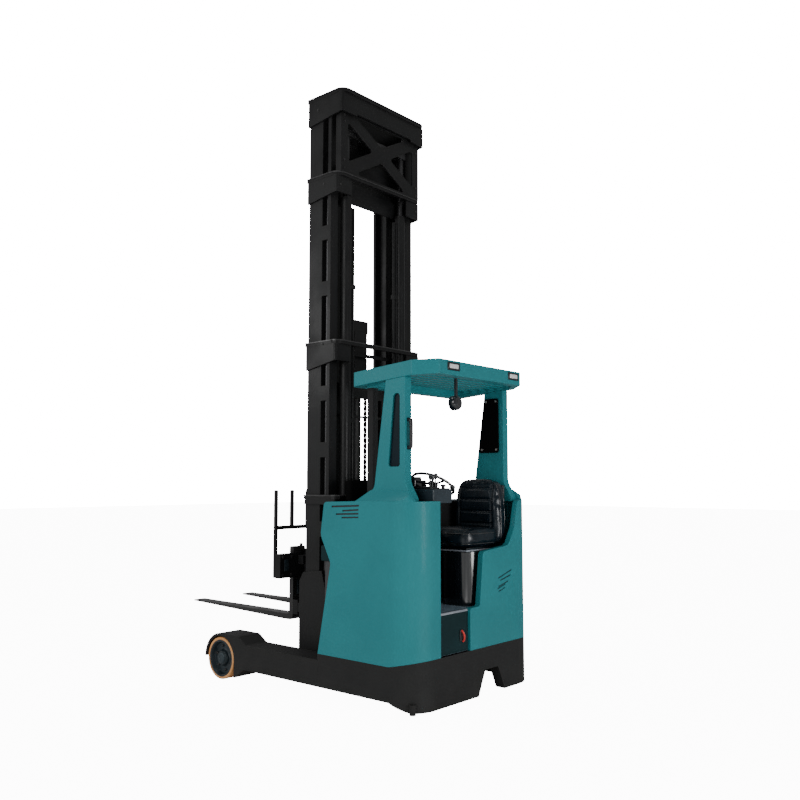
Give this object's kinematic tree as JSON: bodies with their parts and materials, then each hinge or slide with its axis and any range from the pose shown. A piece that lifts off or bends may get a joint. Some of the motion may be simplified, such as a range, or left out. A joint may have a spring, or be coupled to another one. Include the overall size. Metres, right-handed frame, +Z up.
{
  "type": "reach truck",
  "caption": "Sit-on warehouse reach truck: straddle legs, a mast that reaches forward between them and telescopes, tilting and side-shifting forks, and a cab with a sideways seat.",
  "frame": {"origin": "on the floor under the middle of the overall length and width", "axes": "X forward along the forks, Y to the truck's left, Z up"},
  "size_m": [2.598, 1.27, 4.048],
  "materials": {
    "chassis_black": "satin",
    "teal_paint": "gloss",
    "mast_black": "satin",
    "orange_tyre": "matte",
    "dark_tyre": "matte",
    "hub_iron": "satin",
    "bright_steel": "polished",
    "fork_steel": "satin",
    "floor_rubber": "matte",
    "battery_grey": "satin",
    "seat_cloth": "satin",
    "dark_plastic": "satin",
    "lamp_lens": "gloss"
  },
  "bodies": {
    "chassis": {"chassis_tub": "chassis_black", "leg_left": "chassis_black", "leg_right": "chassis_black", "drive_bridge": "chassis_black", "side_panel_left": "teal_paint", "side_panel_right": "teal_paint", "rear_cover": "teal_paint", "cab_floor": "floor_rubber", "battery_cover": "chassis_black", "battery": "battery_grey", "pillars": "teal_paint", "front_post": "chassis_black", "roof": "teal_paint", "seat_cushion": "seat_cloth", "seat_back": "seat_cloth", "seat_pedestal": "dark_plastic", "control_console": "dark_plastic", "steering_wheel": "dark_plastic", "rear_lamps": "lamp_lens", "work_lamp": "dark_plastic", "pillar_covers": "dark_plastic", "reach_cylinder": "mast_black"},
    "load_wheel_left": {"load_tyre_left": "orange_tyre", "load_hub_left": "hub_iron"},
    "load_wheel_right": {"load_tyre_right": "orange_tyre", "load_hub_right": "hub_iron"},
    "drive_turret": {"drive_unit": "hub_iron"},
    "drive_wheel": {"drive_tyre": "dark_tyre", "drive_hub": "hub_iron"},
    "reach": {"reach_carriage": "mast_black", "reach_rod": "bright_steel", "mast_outer": "mast_black", "mast_yokes": "mast_black", "mast_head_brace": "mast_black", "lift_cylinders": "mast_black"},
    "middle_mast": {"mast_middle": "mast_black", "lift_rods": "bright_steel"},
    "inner_mast": {"mast_inner": "mast_black", "free_lift_cylinder": "mast_black"},
    "free_rod": {"free_lift_rod": "bright_steel"},
    "lift_carriage": {"lift_bracket": "mast_black"},
    "tilt": {"tilt_frame": "mast_black"},
    "fork_carriage": {"shift_carriage": "mast_black", "fork_left": "fork_steel", "fork_right": "fork_steel", "load_backrest": "mast_black"}
  },
  "joints": [
    {"name": "load_wheel_left_roll", "type": "hinge", "parent": "chassis", "child": "load_wheel_left", "pos_m": [0.497, 0.58, 0.1425], "axis": [0, 1, 0], "continuous": true},
    {"name": "load_wheel_right_roll", "type": "hinge", "parent": "chassis", "child": "load_wheel_right", "pos_m": [0.497, -0.58, 0.1425], "axis": [0, 1, 0], "continuous": true},
    {"name": "steer", "type": "hinge", "parent": "chassis", "child": "drive_turret", "pos_m": [-0.938, -0.13, 0.43], "axis": [0, 0, 1], "range_deg": [-90, 90]},
    {"name": "drive_wheel_roll", "type": "hinge", "parent": "drive_turret", "child": "drive_wheel", "pos_m": [-0.938, -0.13, 0.171], "axis": [0, 1, 0], "continuous": true},
    {"name": "mast_reach", "type": "slide", "parent": "chassis", "child": "reach", "axis": [1, 0, 0], "range_m": [0, 0.56]},
    {"name": "middle_lift", "type": "slide", "parent": "reach", "child": "middle_mast", "axis": [0, 0, 1], "range_m": [0, 2.9]},
    {"name": "inner_lift", "type": "slide", "parent": "middle_mast", "child": "inner_mast", "axis": [0, 0, 1], "range_m": [0, 2.9]},
    {"name": "carriage_lift", "type": "slide", "parent": "inner_mast", "child": "lift_carriage", "axis": [0, 0, 1], "range_m": [-0.33, 1.7]},
    {"name": "free_rod_lift", "type": "slide", "parent": "inner_mast", "child": "free_rod", "axis": [0, 0, 1], "range_m": [-0.165, 0.85]},
    {"name": "fork_tilt", "type": "hinge", "parent": "lift_carriage", "child": "tilt", "pos_m": [-0.046, 0, 0.56], "axis": [0, 1, 0], "range_deg": [-4, 2]},
    {"name": "side_shift", "type": "slide", "parent": "tilt", "child": "fork_carriage", "axis": [0, 1, 0], "range_m": [-0.07, 0.07]}
  ],
  "couplings": [
    {"joint": "inner_lift", "follows": "middle_lift", "ratio": 1},
    {"joint": "free_rod_lift", "follows": "carriage_lift", "ratio": 0.5}
  ]
}
